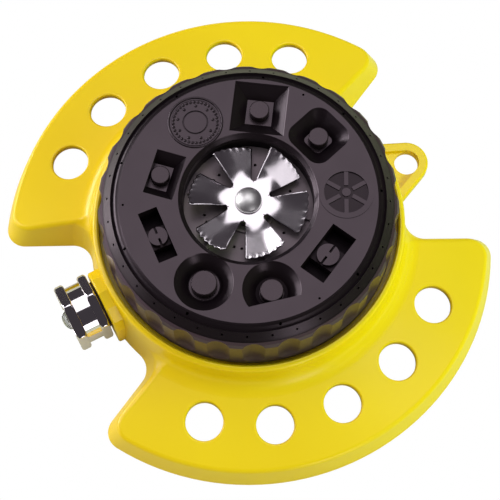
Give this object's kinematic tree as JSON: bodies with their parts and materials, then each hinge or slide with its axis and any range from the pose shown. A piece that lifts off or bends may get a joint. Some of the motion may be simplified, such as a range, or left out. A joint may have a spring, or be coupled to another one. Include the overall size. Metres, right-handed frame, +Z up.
{
  "type": "turret sprinkler",
  "caption": "Low turret lawn sprinkler: winged metal base, turning pattern dial, water-driven spinner, swivel hose nut and hanging eye.",
  "frame": {"origin": "on the dial's axis, at floor level, in the middle of the footprint", "axes": "+Z up along the dial's axis, -X towards the hose inlet, +X towards the hanging eye, the two wings along +Y and -Y"},
  "size_m": [0.208, 0.24, 0.065],
  "materials": {
    "yellow_paint": "glossy powder coat",
    "face_plastic": "satin moulded",
    "grip_plastic": "satin moulded",
    "nozzle_plastic": "satin moulded",
    "black_plastic": "satin moulded",
    "white_plastic": "plain bearing plastic",
    "spinner_steel": "bright stainless sheet",
    "bright_steel": "plated",
    "steel_mesh": "fine stainless wire mesh",
    "chrome": "chrome plated",
    "brass": "machined",
    "rubber": "moulded black rubber",
    "fibre_seal": "pressed fibre"
  },
  "bodies": {
    "base": {"base_casting": "yellow_paint", "inlet_tail": "brass", "tail_gasket": "fibre_seal", "pivot_bolt": "bright_steel", "pivot_washer": "bright_steel", "pivot_nut": "bright_steel", "pivot_sleeve": "brass", "pivot_oring": "rubber", "dial_circlip": "bright_steel", "dial_thrust_washer": "white_plastic", "spinner_washer": "white_plastic", "seal_spring": "bright_steel"},
    "dial": {"dial_manifold": "black_plastic", "dial_gasket": "rubber", "jet_plate": "black_plastic", "dial_face": "face_plastic", "dial_grip_ring": "grip_plastic", "dial_screws": "bright_steel", "nozzle_diamond": "nozzle_plastic", "nozzle_square": "nozzle_plastic", "nozzle_side_strip": "nozzle_plastic", "nozzle_narrow_slot": "nozzle_plastic", "nozzle_circle": "nozzle_plastic", "nozzle_half_circle": "nozzle_plastic", "nozzle_wide_slot": "nozzle_plastic"},
    "spinner": {"spinner": "spinner_steel", "spinner_bushing": "bright_steel"},
    "hose_swivel": {"swivel_nut": "chrome", "hose_washer": "rubber", "filter_screen": "steel_mesh"},
    "seal": {"outlet_seal": "rubber"}
  },
  "joints": [
    {"name": "dial_turn", "type": "hinge", "parent": "base", "child": "dial", "pos_m": [0, 0, 0.045], "axis": [0, 0, 1], "continuous": true},
    {"name": "spinner_spin", "type": "hinge", "parent": "base", "child": "spinner", "pos_m": [0, 0, 0.0596], "axis": [0, 0, 1], "continuous": true},
    {"name": "nut_turn", "type": "hinge", "parent": "base", "child": "hose_swivel", "pos_m": [-0.088, 0, 0.0175], "axis": [1, 0, 0], "continuous": true},
    {"name": "seal_press", "type": "slide", "parent": "base", "child": "seal", "axis": [0, 0, 1], "range_m": [-0.0012, 0], "stiffness_N_per_m": 3000, "springref_m": 0.0015, "deforming": ["seal_spring"]}
  ]
}
